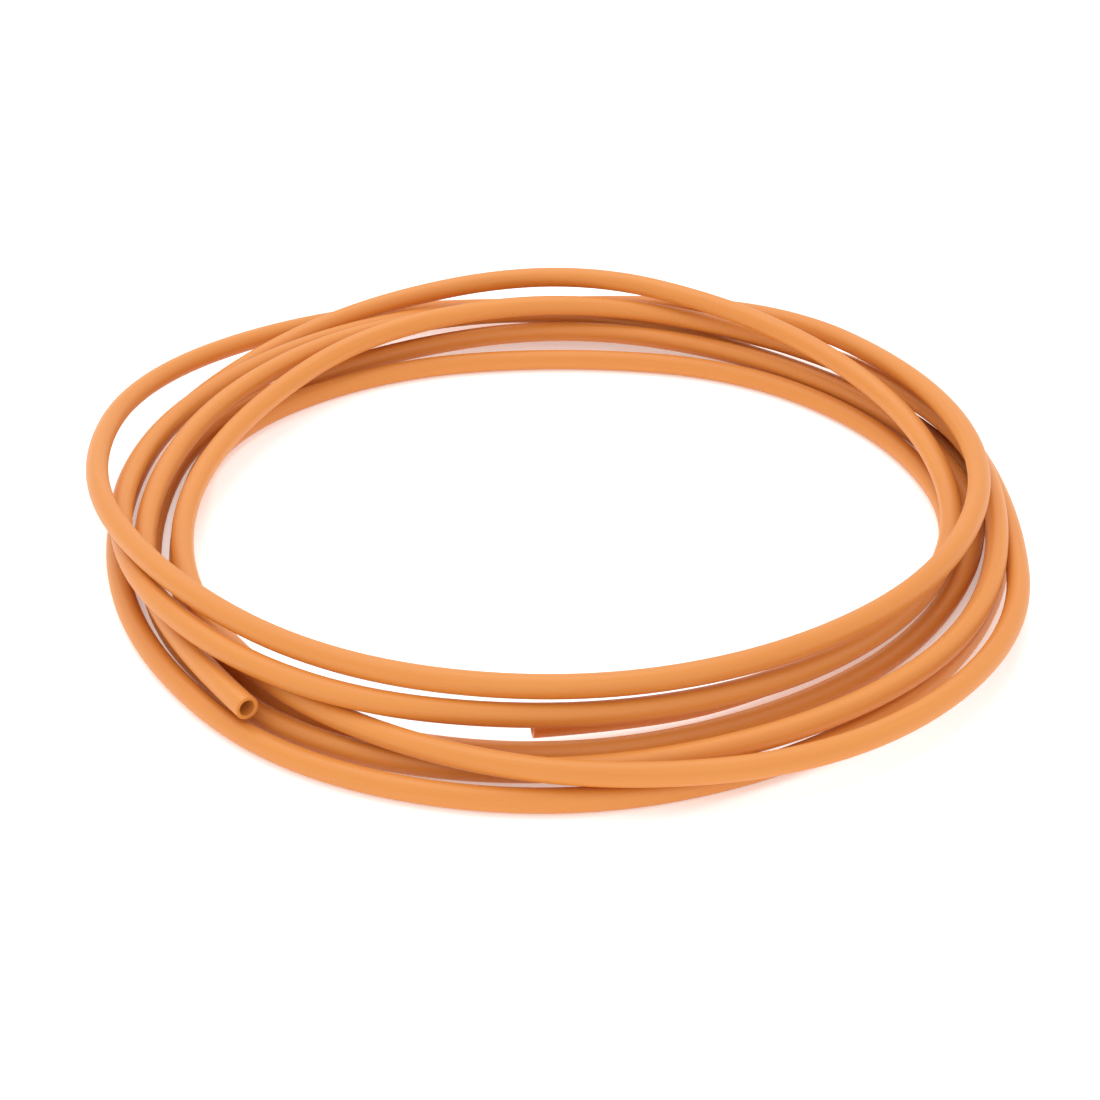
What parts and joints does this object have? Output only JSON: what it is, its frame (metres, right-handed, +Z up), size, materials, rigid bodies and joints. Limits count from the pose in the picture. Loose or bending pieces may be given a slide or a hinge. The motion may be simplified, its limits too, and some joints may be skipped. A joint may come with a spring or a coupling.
{
  "type": "fibre-optic cable coil",
  "caption": "Length of round simplex fibre-optic cable with an orange jacket, cut square at both ends and lying in a loose, untied coil.",
  "frame": {"origin": "on the surface that the coil rests on, below the middle of the coil's box", "axes": "+Z up, +X to the right and +Y to the back, both cable ends at the front (-Y)"},
  "size_m": [0.1264, 0.1352, 0.0126],
  "materials": {
    "jacket": "satin orange PVC",
    "aramid": "soft yellow aramid yarn",
    "buffer": "off-white tight buffer",
    "coating": "clear acrylate fibre coating",
    "fibre_glass": "clear silica fibre"
  },
  "bodies": {
    "root": {"outer_jacket": "jacket", "aramid_yarn_1": "aramid", "aramid_yarn_2": "aramid", "aramid_yarn_3": "aramid", "aramid_yarn_4": "aramid", "aramid_yarn_5": "aramid", "aramid_yarn_6": "aramid", "tight_buffer": "buffer", "fibre_coating": "coating", "glass_fibre": "fibre_glass"}
  },
  "joints": []
}
